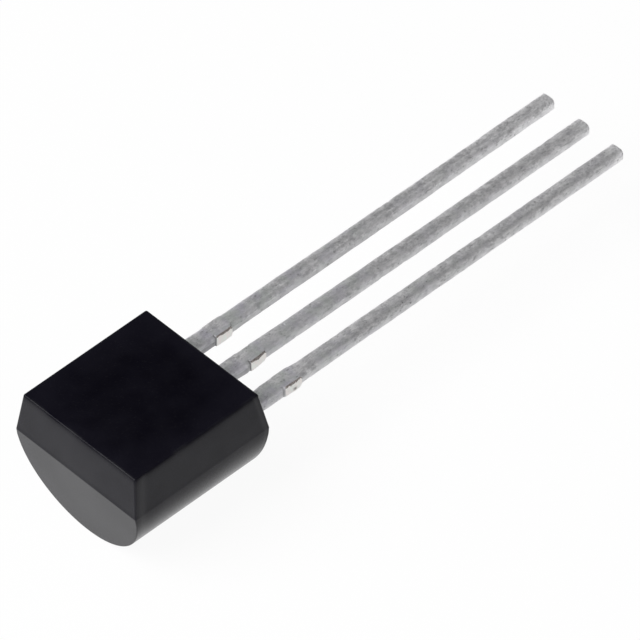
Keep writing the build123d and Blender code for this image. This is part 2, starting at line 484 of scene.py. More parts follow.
def edge_distance(y, name, size, side, shape):
    """Distance of a lead's edge from its centre line: straight between corners, less the lock notch
    and the round corner of the inner end, which are both parts of a circle."""
    places, distances = edge_places(name, size, side, shape)
    distance = np.interp(y, places, distances)
    if side != -LEAD_SIDES[name] or name == "middle":
        notch = notch_place(name, size, shape)
        distance -= np.sqrt(np.maximum(shape.notch_radius ** 2 - (y - notch) ** 2, 0))
    radius = inner_corner_radius(name, shape)
    short = np.maximum(radius - (y - size["inner_end"]), 0)
    return distance - radius + np.sqrt(radius ** 2 - short ** 2)


def notch_place(name, size, shape):
    """Where the middle of the lock notch lies along the lead."""
    if name == "middle":
        return size["inner_end"] + shape.pad_corner_radius + shape.notch_radius
    return (size["inner_end"] + size["wide_end"]) / 2


def lead_stations(name, size, shape):
    """Places along a lead: evenly along the bar, close together at corners and round the notch."""
    even = np.arange(size["inner_end"], size["tip"], shape.station_spacing)
    corners = np.concatenate([edge_places(name, size, side, shape)[0] for side in (-1, 1)])
    close = np.array(CLOSE_STATIONS) * shape.step_length
    quarter_turn = np.linspace(0, pi / 2, shape.corner_stations)
    half_turn = np.linspace(0, pi, shape.notch_stations)
    rounding = size["inner_end"] + inner_corner_radius(name, shape) * (1 - np.cos(quarter_turn))
    notch = notch_place(name, size, shape) - shape.notch_radius * np.cos(half_turn)
    bevel = size["tip"] - shape.tip_bevel * np.linspace(0, 1, shape.bevel_stations)
    stations = np.concatenate([even, (corners[:, None] + close).ravel(), rounding, notch, bevel])
    stations = np.clip(stations, size["inner_end"], size["tip"])
    stations = np.unique(np.round(stations / SAME_STATION)) * SAME_STATION
    stations[0], stations[-1] = size["inner_end"], size["tip"]
    return stations


def edge_round(y, size, span, face_round, shape):
    """Radius of the edges of one side at each station: the sheet's own before the neck, the sheared
    face's over its span, which is given in millimetres from the dam bar, and else the bar's."""
    start, stop = (size["stub_start"] + place * MM for place in span)
    on_face = np.minimum((y - start) / shape.step_length + 1, (stop - y) / shape.run_out)
    bar_round = shape.edge_radius + np.clip(on_face, 0, 1) * (face_round - shape.edge_radius)
    return np.where(y < size["neck_end"], shape.sheet_edge_radius, bar_round)


def section_sizes(name, y, outside, size, shape):
    """Left, right, back and front of a lead and the radii of its left and right edges, by station.

    Past the dam bar the lead leans by its own angle.  Its left edge swells near the body, and all
    four sides draw in along the bevel of the tip.
    """
    past_bar = np.maximum(y - size["stub_start"], 0)
    centre = size["centre"] + own(shape.lean, name) * past_bar
    swell = own(shape.swell, name) * outside * bell(past_bar / shape.swell_length)
    inset = np.maximum(y - (size["tip"] - shape.tip_bevel), 0)
    left_out, right_out = (edge_distance(y, name, size, side, shape) for side in (-1, 1))
    left_span, right_span = STUB_FACES[name]
    return (centre - left_out - swell + inset, centre + right_out - inset,
            size["back"] + inset, size["front"] - inset,
            edge_round(y, size, left_span, shape.rolled_edge_radius, shape),
            edge_round(y, size, right_span, shape.stub_edge_radius, shape))


def lead_dents(name, y, outside, columns, size, shape):
    """How far the skin stands out, the way it faces: slow waves, fine bumps and small round pits,
    each worked out from the place along the lead and around the section."""
    seed = shape.seed + 10 * LEAD_SIDES[name]
    along, around = y[:, None], np.arange(columns)[None, :] / columns
    slow = smooth_noise(along / shape.wave_length, around * WAVES_AROUND, WAVES_AROUND, seed)
    fine = smooth_noise(along / shape.grain_length, around * BUMPS_AROUND, BUMPS_AROUND, seed + 1)
    dent = shape.wave_height * slow + shape.grain_height * fine
    chance = np.random.default_rng(seed + 2)
    places = chance.uniform(size["stub_start"], size["tip"], shape.pit_count)
    turns = chance.uniform(0, 1, shape.pit_count)
    radii = shape.pit_radius * chance.uniform(0.5, 1.3, shape.pit_count)
    perimeter = 4 * size["half_width"] + 2 * (size["front"] - size["back"])
    for place, turn, radius in zip(places, turns, radii):
        beside = (np.abs(around - turn + 0.5) % 1 - 0.5) * perimeter
        dent -= shape.pit_depth * bell(np.hypot(along - place, beside) / radius)
    before_tip = np.clip((size["tip"] - y) / (2 * shape.tip_bevel), 0, 1)
    return (outside * before_tip)[:, None] * dent


def end_rings(row, y):
    """Three rings that close one end: its middle, then half and nine tenths of the way out."""
    middle = row.mean(axis=0)
    middle[1] = y
    return np.stack([middle + part * (row - middle) for part in (0, 0.5, 0.9)])


def lead_surface(name, size, shape):
    """One lead as a section carried along its length, its skin dented and both its ends closed."""
    size = dict(size, tip=size["tip"] - own(shape.cut_short, name))
    y = lead_stations(name, size, shape)
    outside = np.clip((y - size["lead_end"]) / shape.plain_length, 0, 1)
    sizes = section_sizes(name, y, outside, size, shape)
    section = lead_section(*sizes, shape.side_columns, shape.corner_columns)
    x, z, columns = section["x"], section["z"], section["x"].shape[1]
    dent = lead_dents(name, y, outside, columns, size, shape)
    skin = np.stack([x + dent * section["facing_x"], 0 * x + y[:, None],
                     z + dent * section["facing_z"]], axis=-1)
    points = np.concatenate([end_rings(skin[0], y[0]), skin, end_rings(skin[-1], y[-1])[::-1]])
    faces = grid_faces(len(points), columns, close_columns=True).reshape(-1, 4)
    attributes = stub_masks(name, y, section, size, shape)
    past_bar = np.maximum(y - size["stub_start"], 0)
    attributes["rise"] = 0 * x + section["height"]
    attributes["edge"] = 0 * x + section["on_corner"]
    attributes["root"] = 0 * x + bell(past_bar / shape.root_length)[:, None]
    # Polish and painted light: painted reflections and painted shade scale the plating's colour here.
    attributes["polish_and_painted_light"] = outside[:, None] * lead_polish_and_painted_light(name, y, section, size, shape)
    blank = np.zeros((3, columns))
    attributes = {key: np.concatenate([blank, value, blank]).ravel() for key, value in attributes.items()}
    return points.reshape(-1, 3), faces, attributes


def lead_polish_and_painted_light(name, y, section, size, shape):
    """How much brighter or duller the plating is drawn at each point, partly as painted light.

    It is brighter along the front's left brim, as a painted reflection of the horizon, towards the back
    of the sides, as a painted reflection of the floor, on the front of the root, over the half of the
    lead that ends in the tip, and where it was cut off.  It is duller in the front's dark band, on the
    rounded edges as painted shade and on the sides of the root as painted shade of the body.
    """
    x, height = section["x"], section["height"]
    toward_front = section["facing_z"] > -0.1
    toward_side = np.abs(section["facing_x"]) > 0.2
    on_front, below_front = section["facing_z"] > 0.5, height < 0.9
    past_bar = np.maximum(y - size["stub_start"], 0)[:, None]
    across = (x - x.min(axis=1, keepdims=True)) / np.ptp(x, axis=1)[:, None]
    # Painted reflection of the bright horizon along the front's left brim.
    brim = shape.brim_painted_reflection * bell(across / shape.brim_width)
    band = shape.band_dulling * bell((across - own(shape.band_place, name)) / shape.band_width)
    band *= 1 - shape.band_fade * bell(past_bar / shape.band_start)
    # Painted reflection of the floor makes the sides brighter towards the back, and painted shade makes the
    # rounded edges duller.
    side = own(shape.side_painted_reflection, name) * (1 - height) - shape.corner_painted_shade * section["on_corner"]
    # Painted shade of the body darkens the sides of the root, most on the left lead; the front of the root
    # is brighter.
    root = shape.root_polish * on_front - own(shape.root_painted_shade, name) * below_front
    before_bar = np.clip((size["stub_start"] - y) / size["half_width"] + 1, 0, 1)[:, None]
    outer_half = np.clip(2 * (y - size["tip"]) / (size["tip"] - size["lead_end"]) + 1, 0, 1)[:, None]
    tip = own(shape.tip_polish, name) * (1 + shape.tip_side_gain * (1 - height))
    end = shape.end_polish * bell((size["tip"] - y) / shape.end_length)[:, None]
    return toward_front * (brim - band) + toward_side * side + before_bar * root + outer_half * tip + end


def stub_masks(name, y, section, size, shape):
    """Masks of one lead beside the dam bar.

    They show where it is sheared bare, how much of the height the rolled lip takes there, the narrow
    dark shoulder before each sheared face, and the pit.  Along a face the lip grows and shrinks as a
    bell curve.  The bare metal leaves out the rounded left edges, and ends early on every corner.
    """
    facing_x, height = section["facing_x"], section["height"]
    masks = {key: np.zeros(section["x"].shape) for key in ("sheared", "lip", "shoulder", "nick")}
    low, high, thickest = LIP_SHARES[name]
    for span, on_side in zip(STUB_FACES[name], (facing_x < -0.6, facing_x > 0.05)):
        start, stop = (size["stub_start"] + place * MM for place in span)
        end = stop - shape.run_out * section["on_corner"]
        inside = (y[:, None] >= start - SAME_PLANE) & (y[:, None] <= end + SAME_PLANE) & on_side
        run = np.clip((y - start) / (stop - start), 0, 1)[:, None]
        masks["sheared"] += inside
        masks["lip"] += inside * (low + (high - low) * bell((run - thickest) / LIP_SPREAD))
        before = np.abs(y - start + shape.shoulder_length)[:, None] / shape.shoulder_length
        masks["shoulder"] += on_side * np.clip(1.2 - before, 0, 1)
    if name in NICKS:
        place, height_share, radius = NICKS[name]
        along = (y - size["stub_start"] - place * MM)[:, None]
        up = (height - height_share) * (size["front"] - size["back"])
        masks["nick"] += (facing_x > 0.9) * bell(np.hypot(along, up) / (radius * MM))
    return masks


# ---------------------------------------------------------------- shader building

class Nodes:
    """Adds shader nodes to one tree and joins them up."""

    def __init__(self, tree):
        self.tree = tree

    def add(self, kind, inputs=None, **settings):
        """One node with its settings; an input is a number, a colour or another node's socket."""
        node = self.tree.nodes.new(kind)
        for key, value in settings.items():
            setattr(node, key, value)
        for key, value in (inputs or {}).items():
            if isinstance(value, bpy.types.NodeSocket):
                self.tree.links.new(value, node.inputs[key])
            else:
                node.inputs[key].default_value = value
        return node

    def math(self, operation, first, second=0.0, third=0.0):
        """Result of one sum, product or other operation on numbers."""
        return self.add("ShaderNodeMath", {0: first, 1: second, 2: third}, operation=operation).outputs[0]

    def between(self, value, low, high, to_low=0.0, to_high=1.0):
        """Value carried from one range to another, and held at its ends."""
        node = self.add("ShaderNodeMapRange", {0: value, 1: low, 2: high, 3: to_low, 4: to_high})
        return node.outputs[0]

    def sharper(self, pattern, spread, to_low=0.0, to_high=1.0):
        """Pattern whose values within that spread of one half are carried to the whole range."""
        return self.between(pattern, 0.5 - spread, 0.5 + spread, to_low, to_high)

    def weighed(self, first, second, part):
        """Sum of that part of one pattern and the rest of another."""
        return self.math("MULTIPLY_ADD", first, part, self.math("MULTIPLY", second, 1 - part))

    def mixed(self, part, first, second):
        """Colour between two others, each a node's socket or three numbers."""
        first, second = (colour if isinstance(colour, bpy.types.NodeSocket) else (*colour, 1)
                         for colour in (first, second))
        return self.add("ShaderNodeMix", {0: part, 6: first, 7: second}, data_type="RGBA").outputs[2]

    def scaled(self, colour, factor):
        """Colour with each of its parts multiplied."""
        node = self.add("ShaderNodeVectorMath", {0: colour, "Scale": factor}, operation="SCALE")
        return node.outputs[0]

    def noise(self, place, size, detail=2.0, roughness=0.5):
        """Soft random pattern with features of about that size, a number or a node's socket."""
        given = isinstance(size, bpy.types.NodeSocket)
        scale = self.math("DIVIDE", 1.0, size) if given else 1 / size
        node = self.add("ShaderNodeTexNoise", {"Vector": place, "Scale": scale, "Detail": detail,
                                               "Roughness": roughness})
        return node.outputs["Fac"]

    def spots(self, place, size, radius):
        """Round spots, 1 at their middles and 0 outside, one in each cell of that size."""
        cells = self.add("ShaderNodeTexVoronoi", {"Vector": place, "Scale": 1 / size})
        return self.between(cells.outputs["Distance"], 0.0, radius, 1.0, 0.0)

    def stretched(self, place, factors):
        """Place with each of its axes multiplied, so that a pattern runs longer along some."""
        node = self.add("ShaderNodeVectorMath", {0: place, 1: factors}, operation="MULTIPLY")
        return node.outputs[0]

    def drawn(self, place, factor):
        """Place on a lead, so that a pattern runs longer along it the smaller the factor is."""
        return self.stretched(place, (1.0, factor, 1.0))

    def attribute(self, name):
        """Number that the piece's mesh holds at each point."""
        return self.add("ShaderNodeAttribute", attribute_name=name).outputs["Fac"]


def new_group(name, inputs, outputs):
    """Empty shader group with those sockets, and its two end nodes."""
    group = bpy.data.node_groups.new(name, "ShaderNodeTree")
    for kind, sockets in (("INPUT", inputs), ("OUTPUT", outputs)):
        for socket, socket_type in sockets.items():
            group.interface.new_socket(socket, in_out=kind, socket_type=socket_type)
    nodes = Nodes(group)
    return group, nodes, nodes.add("NodeGroupInput").outputs, nodes.add("NodeGroupOutput")


def fine_grain_group():
    """Grain of a surface at two scales, and slow mottling, all from 0 to 1."""
    found = bpy.data.node_groups.get("fine_grain")
    if found:
        return found
    group, nodes, given, result = new_group(
        "fine_grain",
        {"Vector": "NodeSocketVector", "Grain size": "NodeSocketFloat", "Mottle size": "NodeSocketFloat"},
        {"Grain": "NodeSocketFloat", "Mottle": "NodeSocketFloat"})
    for output, detail in (("Grain", 3.0), ("Mottle", 4.0)):
        pattern = nodes.noise(given["Vector"], given[f"{output} size"], detail)
        group.links.new(nodes.sharper(pattern, 0.2), result.inputs[output])
    return group


def edge_wear_group():
    """Mask of rubbed edges: the mesh's own edge mask, broken up by a soft pattern."""
    found = bpy.data.node_groups.get("edge_wear")
    if found:
        return found
    group, nodes, given, result = new_group(
        "edge_wear",
        {"Vector": "NodeSocketVector", "Edge": "NodeSocketFloat", "Patch size": "NodeSocketFloat",
         "Amount": "NodeSocketFloat"},
        {"Mask": "NodeSocketFloat"})
    broken = nodes.sharper(nodes.noise(given["Vector"], given["Patch size"], 4.0), 0.15)
    worn = nodes.math("MULTIPLY", given["Edge"], broken)
    group.links.new(nodes.math("MULTIPLY", worn, given["Amount"]), result.inputs["Mask"])
    return group


def new_material(name):
    """Material with its Principled shader, and the object's own coordinates."""
    found = bpy.data.materials.get(name)
    if found:
        bpy.data.materials.remove(found)
    material = bpy.data.materials.new(name)
    material.use_nodes = True
    nodes = Nodes(material.node_tree)
    shader = material.node_tree.nodes["Principled BSDF"]
    place = nodes.add("ShaderNodeTexCoord").outputs["Object"]
    return material, nodes, shader, place


def grain(nodes, place, grain_size, mottle_size):
    """Grain and mottling sockets of the shared group, at a material's own scales."""
    node = nodes.add("ShaderNodeGroup", node_tree=fine_grain_group())
    nodes.tree.links.new(place, node.inputs["Vector"])
    node.inputs["Grain size"].default_value = grain_size
    node.inputs["Mottle size"].default_value = mottle_size
    return node.outputs["Grain"], node.outputs["Mottle"]


def edge_wear(nodes, place, patch_size, amount):
    """Mask socket of the shared group, with a material's own amount."""
    node = nodes.add("ShaderNodeGroup", node_tree=edge_wear_group())
    nodes.tree.links.new(place, node.inputs["Vector"])
    nodes.tree.links.new(nodes.attribute("edge"), node.inputs["Edge"])
    node.inputs["Patch size"].default_value = patch_size
    node.inputs["Amount"].default_value = amount
    return node.outputs["Mask"]


def finish_shader(nodes, shader, colour, roughness, height, bump_distance):
    """Joins a colour, a roughness and a height to the shader."""
    links = nodes.tree.links
    links.new(colour, shader.inputs["Base Color"])
    links.new(roughness, shader.inputs["Roughness"])
    bump = nodes.add("ShaderNodeBump", {"Height": height, "Distance": bump_distance, "Strength": 1.0})
    links.new(bump.outputs["Normal"], shader.inputs["Normal"])


def epoxy_material(finish):
    """Near-black moulding compound: a fine even mould grain, dull mottling, rubbed edges and a painted
    reflection that turns it lighter towards the flat's rim.
    """
    material, nodes, shader, place = new_material("epoxy")
    fine, slow = grain(nodes, place, finish.grain_size, finish.mottle_size)
    worn = edge_wear(nodes, place, finish.mottle_size, finish.edge_wear)
    speck = nodes.spots(place, finish.filler_size, 0.22)
    # Painted reflection: the compound turns lighter towards the flat's rim and keeps that lighter mix off
    # the flat.
    margin = nodes.between(nodes.attribute("margin"), finish.rim_reflection_start, 1.0)
    colour = nodes.mixed(nodes.weighed(slow, margin, 0.4), finish.dark, finish.light)
    colour = nodes.mixed(nodes.math("MULTIPLY", speck, finish.filler_share), colour, finish.filler)
    colour = nodes.mixed(worn, colour, finish.filler)
    roughness = nodes.between(slow, 0.0, 1.0, finish.roughness, finish.dull_roughness)
    roughness = nodes.math("MULTIPLY_ADD", worn, finish.worn_roughness, roughness)
    roughness = nodes.math("MULTIPLY_ADD", fine, finish.grain_roughness, roughness)
    shader.inputs["IOR"].default_value = finish.ior
    cloud = nodes.sharper(nodes.noise(place, finish.cloud_size), 0.15,
                          0.5 - finish.gloss_clouds, 0.5 + finish.gloss_clouds)
    gloss = nodes.math("MULTIPLY_ADD", nodes.attribute("sheen"), 0.5, cloud)
    nodes.tree.links.new(gloss, shader.inputs["Specular IOR Level"])
    finish_shader(nodes, shader, colour, roughness, fine, finish.grain_height)
    return material


def plating_tone(nodes, place, contrast, finish):
    """Streaks drawn along the lead, small patches, and the tone from dull to bright that they make."""
    streaks = nodes.noise(nodes.drawn(place, finish.streak_share), finish.streak_width, 4.0, 0.7)
    patches = nodes.noise(nodes.drawn(place, finish.patch_share), finish.patch_size, 4.0, 0.7)
    tone = nodes.weighed(nodes.sharper(streaks, 0.09), nodes.sharper(patches, 0.08), 0.4)
    tone = nodes.math("MULTIPLY_ADD", nodes.math("SUBTRACT", tone, 0.5), contrast, 0.5)
    return streaks, patches, tone


def stained(nodes, place, colour, contrast, finish):
    """Colour under bluish and greenish stains, which are strongest by the body and on the front."""
    hue = nodes.sharper(nodes.noise(place, finish.hue_size), 0.10)
    stain = nodes.mixed(hue, finish.stain, finish.stain_green)
    spread = nodes.between(nodes.noise(place, finish.stain_size, 3.0), 0.42, 0.60)
    by_body = nodes.between(nodes.attribute("root"), 0.0, 1.0, finish.far_stain, finish.root_stain)
    amount = nodes.math("MULTIPLY", spread, by_body)
    amount = nodes.math("MULTIPLY", amount, nodes.between(contrast, 0.0, 1.0, 0.2, 1.0))
    return nodes.mixed(amount, colour, stain)


def with_polish_and_painted_light(nodes, colour, patches, contrast, finish):
    """Colour made brighter or duller by the mesh's own polish and painted light, unevenly from patch to
    patch.
    """
    broken = nodes.sharper(patches, 0.15, -finish.broken_polish_and_painted_light, finish.broken_polish_and_painted_light)
    broken = nodes.math("ADD", nodes.math("MULTIPLY", broken, contrast), 1.0)
    polish_and_painted_light = nodes.math("MULTIPLY", nodes.attribute("polish_and_painted_light"), broken)
    return nodes.scaled(colour, nodes.math("ADD", polish_and_painted_light, 1.0))


def plating_marks(nodes, place, patches, finish):
    """Mask of small pits, and of fine scratches along the lead where a patch is dull."""
    pits = nodes.spots(place, finish.pit_spacing, 0.16)
    lines = nodes.noise(nodes.drawn(place, finish.scratch_share), finish.scratch_width)
    in_dull = nodes.between(patches, 0.55, 0.42)
    scratches = nodes.math("MULTIPLY", nodes.between(lines, 0.62, 0.70), in_dull)
    return nodes.math("MAXIMUM", nodes.math("MULTIPLY", pits, finish.pit_strength),
                      nodes.math("MULTIPLY", scratches, finish.scratch_strength))


def sheared_bare(nodes, place, colour, finish):
    """Colour with the faces sheared beside the dam bar laid over it, and the mask of their lips.

    A lip begins where the height up the face, made uneven by ragged upright streaks and torn spots,
    comes within the lip's own share of the top.
    """
    ragged = nodes.noise(nodes.stretched(place, (1.0, 1.0, 0.3)), finish.streak_width, 3.0)
    torn = nodes.noise(place, finish.torn_size, 3.0, 0.6)
    height = nodes.attribute("rise")
    for pattern, amount in ((ragged, finish.ragged), (torn, finish.torn)):
        height = nodes.math("MULTIPLY_ADD", nodes.math("SUBTRACT", pattern, 0.5), amount, height)
    lip = nodes.between(nodes.math("ADD", height, nodes.attribute("lip")), 0.96, 1.02)
    bare = nodes.mixed(nodes.between(ragged, 0.4, 0.65), finish.bare, finish.bare_pale)
    # The lip's dark colour is partly the copper of the rolled edge and partly painted shade of its curve.
    lip_colour = nodes.mixed(nodes.sharper(torn, 0.15), finish.lip, finish.lip_pale)
    colour = nodes.mixed(nodes.attribute("sheared"), colour, nodes.mixed(lip, bare, lip_colour))
    colour = nodes.mixed(nodes.attribute("nick"), colour, finish.lip)
    shoulder = nodes.math("MULTIPLY", nodes.attribute("shoulder"), nodes.sharper(ragged, 0.2, 0.5, 0.9))
    return nodes.mixed(shoulder, colour, finish.pit), lip


def tin_material(finish):
    """Dull tin plating drawn along the lead, pitted and stained, with painted reflections and painted
    shade, sheared bare beside the dam bar.
    """
    material, nodes, shader, place = new_material("tinned_lead")
    fine, slow = grain(nodes, place, finish.grain_size, finish.mottle_size)
    contrast = nodes.between(nodes.attribute("rise"), 0.80, 1.0, finish.side_contrast, 1.0)
    streaks, patches, tone = plating_tone(nodes, place, contrast, finish)
    colour = nodes.mixed(tone, finish.dull, finish.tin)
    colour = nodes.mixed(nodes.math("MULTIPLY", slow, finish.mottle), colour, finish.dull)
    colour = stained(nodes, place, colour, contrast, finish)
    # Painted reflections brighten the sides and the left brim, and painted shade darkens the rounded edges
    # and the root's sides.
    colour = with_polish_and_painted_light(nodes, colour, patches, contrast, finish)
    marks = plating_marks(nodes, place, patches, finish)
    colour = nodes.mixed(marks, colour, finish.pit)
    worn = edge_wear(nodes, place, finish.mottle_size, finish.edge_wear)
    colour = nodes.mixed(nodes.math("MULTIPLY", worn, contrast), colour, finish.tin)
    colour, lip = sheared_bare(nodes, place, colour, finish)
    skin_roughness = nodes.between(tone, 0.0, 1.0, finish.dull_roughness, finish.roughness)
    cut_roughness = nodes.between(lip, 0.0, 1.0, finish.bare_roughness, finish.lip_roughness)
    roughness = nodes.add("ShaderNodeMix", {0: nodes.attribute("sheared"), 2: skin_roughness,
                                            3: cut_roughness}).outputs[0]
    relief = nodes.math("MULTIPLY_ADD", fine, 0.5, streaks)
    relief = nodes.math("MULTIPLY_ADD", patches, 1.2, relief)
    relief = nodes.math("MULTIPLY_ADD", marks, -1.2, nodes.math("MULTIPLY", relief, contrast))
    shader.inputs["Metallic"].default_value = finish.metallic
    finish_shader(nodes, shader, colour, roughness, relief, finish.relief_height)
    return material


def silicon_material(finish):
    """Sawn silicon with rows of printed circuit cells, polished and dark."""
    material, nodes, shader, place = new_material("silicon")
    fine, slow = grain(nodes, place, 0.008 * MM, 0.2 * MM)
    cells = nodes.add("ShaderNodeTexBrick", {
        "Vector": place, "Scale": 1 / finish.cell_size, "Mortar Size": 0.03, "Bias": 0.1,
        "Color1": (*finish.silicon, 1), "Color2": (*finish.silicon_cell, 1),
        "Mortar": (*finish.track, 1)})
    colour = nodes.mixed(nodes.math("MULTIPLY", slow, 0.3), cells.outputs["Color"], finish.silicon)
    roughness = nodes.between(fine, 0.0, 1.0, 0.12, 0.25)
    finish_shader(nodes, shader, colour, roughness, cells.outputs["Fac"], 0.0005 * MM)
    return material


def adhesive_material(finish):
    """Grey adhesive full of silver flakes."""
    material, nodes, shader, place = new_material("die_adhesive")
    fine, slow = grain(nodes, place, 0.02 * MM, 0.3 * MM)
    flakes = nodes.spots(place, 0.025 * MM, 0.4)
    colour = nodes.mixed(flakes, finish.adhesive, finish.flake)
    roughness = nodes.between(slow, 0.0, 1.0, 0.45, 0.7)
    finish_shader(nodes, shader, colour, roughness, fine, 0.002 * MM)
    return material


def bond_metal_material(finish):
    """Drawn copper wire with a faint sheen of die marks."""
    material, nodes, shader, place = new_material("bond_metal")
    fine, slow = grain(nodes, place, 0.01 * MM, 0.15 * MM)
    marks = nodes.noise(nodes.stretched(place, (1.0, 0.15, 0.15)), 0.008 * MM)
    colour = nodes.mixed(slow, finish.wire, finish.wire_deep)
    roughness = nodes.sharper(marks, 0.2, 0.16, 0.3)
    shader.inputs["Metallic"].default_value = 1.0
    finish_shader(nodes, shader, colour, roughness, fine, 0.0003 * MM)
    return material


# ---------------------------------------------------------------- what a user may change

def length(name, description, default):
    """Length property in metres."""
    return FloatProperty(name=name, description=description, default=default, min=0.0, precision=6,
                         unit="LENGTH")


def share(name, description, default):
    """Number from 0 to 1."""
    return FloatProperty(name=name, description=description, default=default, min=0.0, max=1.0,
                         subtype="FACTOR")


def lead_lengths(name, description, default):
    """A length in metres for each lead, from left to right."""
    return FloatVectorProperty(name=name, description=description, default=default, size=3, min=0.0,
                               precision=6, unit="LENGTH")


def lead_shares(name, description, default):
    """A number from 0 to 1 for each lead, from left to right."""
    return FloatVectorProperty(name=name, description=description, default=default, size=3, min=0.0,
                               max=1.0)


def colour_choice(name, description, default):
    """Colour property."""
    return FloatVectorProperty(name=name, description=description, default=default, size=3, min=0.0,
                               max=1.0, subtype="COLOR")


def steps(name, description, default):
    """Number of points or rows."""
    return IntProperty(name=name, description=description, default=default, min=2)


class BodyShape(bpy.types.PropertyGroup):
    """Rounding, draft and uneven gloss of the moulded body, and how finely its surface is divided."""
    corner_radius: length("Corner radius", "Upright corners at the parting plane", 0.04 * MM)
    flat_corner_radius: length("Flat corner radius", "Corners of the flat face", 0.06 * MM)
    edge_radius: length("Edge radius", "Easing of the flat's edges", 0.055 * MM)
    back_edge_radius: length("Back edge radius", "Easing of the back's ends", 0.025 * MM)
    seam_radius: length("Seam radius", "Easing of the parting line", 0.012 * MM)
    back_draft: FloatProperty(name="Back draft", description="Lean of the ends behind the parting plane",
                              default=radians(8.0), subtype="ANGLE")
    seam_line: length("Seam line", "Half width of the dull line above the parting line", 0.05 * MM)
    seam_dulling: share("Seam dulling", "How much weaker the gloss is there", 0.30)
    side_seam: share("Side seam", "Part of that dulling that the long sides have", 0.4)
    rim_line: length("Rim line", "Width of the dull line below the flat's rim", 0.12 * MM)
    rim_dulling: share("Rim dulling", "How much weaker the gloss is there", 0.72)
    closed_strip: length("Closed strip", "Half width of the glossy strip by the closed end", 0.13 * MM)
    lead_strip: length("Lead strip", "Half width of the glossy strip by the lead end", 0.06 * MM)
    strip_polish: share("Strip polish", "How much stronger the gloss is in both strips", 0.60)
    strip_place: FloatProperty(name="Strip place", default=1.5, min=0.0, subtype="FACTOR",
                               description="Middle of a strip from its edge, in its half widths")
    seat_diameter: length("Seat diameter", "Round seat left by the ejector", 1.0 * MM)
    seat_depth: length("Seat depth", "Depth of the seat at the lowest line", 0.07 * MM)
    seat_edge_radius: length("Seat edge radius", "Easing of the seat's brink", 0.008 * MM)
    seat_margin: length("Seat margin", "Ground round the seat that its spokes take", 0.16 * MM)
    flat_rows: steps("Flat rows", "Rings over half the flat face", 14)
    side_rows: steps("Side rows", "Rows down the front half's sides", 14)
    back_rows: steps("Back rows", "Rows round the back, an odd number", 129)
    edge_steps: steps("Edge steps", "Rows across a rounded edge", 6)
    end_columns: steps("End columns", "Columns over half an end", 18)
    corner_columns: steps("Corner columns", "Columns round a corner", 8)
    side_columns: steps("Side columns", "Columns along a side", 60)
    seat_rings: steps("Seat rings", "Rings from the grid to the seat", 7)


class EpoxyFinish(bpy.types.PropertyGroup):
    """Colours, gloss and grain of the moulding compound."""
    dark: colour_choice("Dark", "Darker compound", (0.0012, 0.0009, 0.0030))
    light: colour_choice("Light", "Lighter compound", (0.0052, 0.0048, 0.0088))
    filler: colour_choice("Filler", "Filler grains and rubbed edges", (0.020, 0.020, 0.021))
    roughness: share("Roughness", "Roughness of the smoother skin", 0.15)
    dull_roughness: share("Dull roughness", "Roughness of the duller patches", 0.20)
    worn_roughness: share("Worn roughness", "How much rougher rubbed edges are", 0.15)
    grain_roughness: share("Grain roughness", "How much rougher the tops of the grain are", 0.04)
    ior: FloatProperty(name="IOR", description="Strength of the skin's gloss", default=1.40, min=1.0)
    gloss_clouds: share("Gloss clouds", "How unevenly the skin shines", 0.05)
    cloud_size: length("Cloud size", "Size of the shinier and duller clouds", 1.4 * MM)
    # Where the painted reflection at the flat's rim begins.
    rim_reflection_start: share("Margin start", "How near the flat's rim its skin turns lighter", 0.40)
    grain_size: length("Grain size", "Mould grain", 0.030 * MM)
    grain_height: length("Grain height", "Depth of the mould grain", 0.0012 * MM)
    mottle_size: length("Mottle size", "Dull patches", 0.7 * MM)
    filler_size: length("Filler spacing", "Distance between filler grains", 0.09 * MM)
    filler_share: share("Filler share", "How clearly filler grains show", 0.35)
    edge_wear: share("Edge wear", "How far edges are rubbed", 0.35)


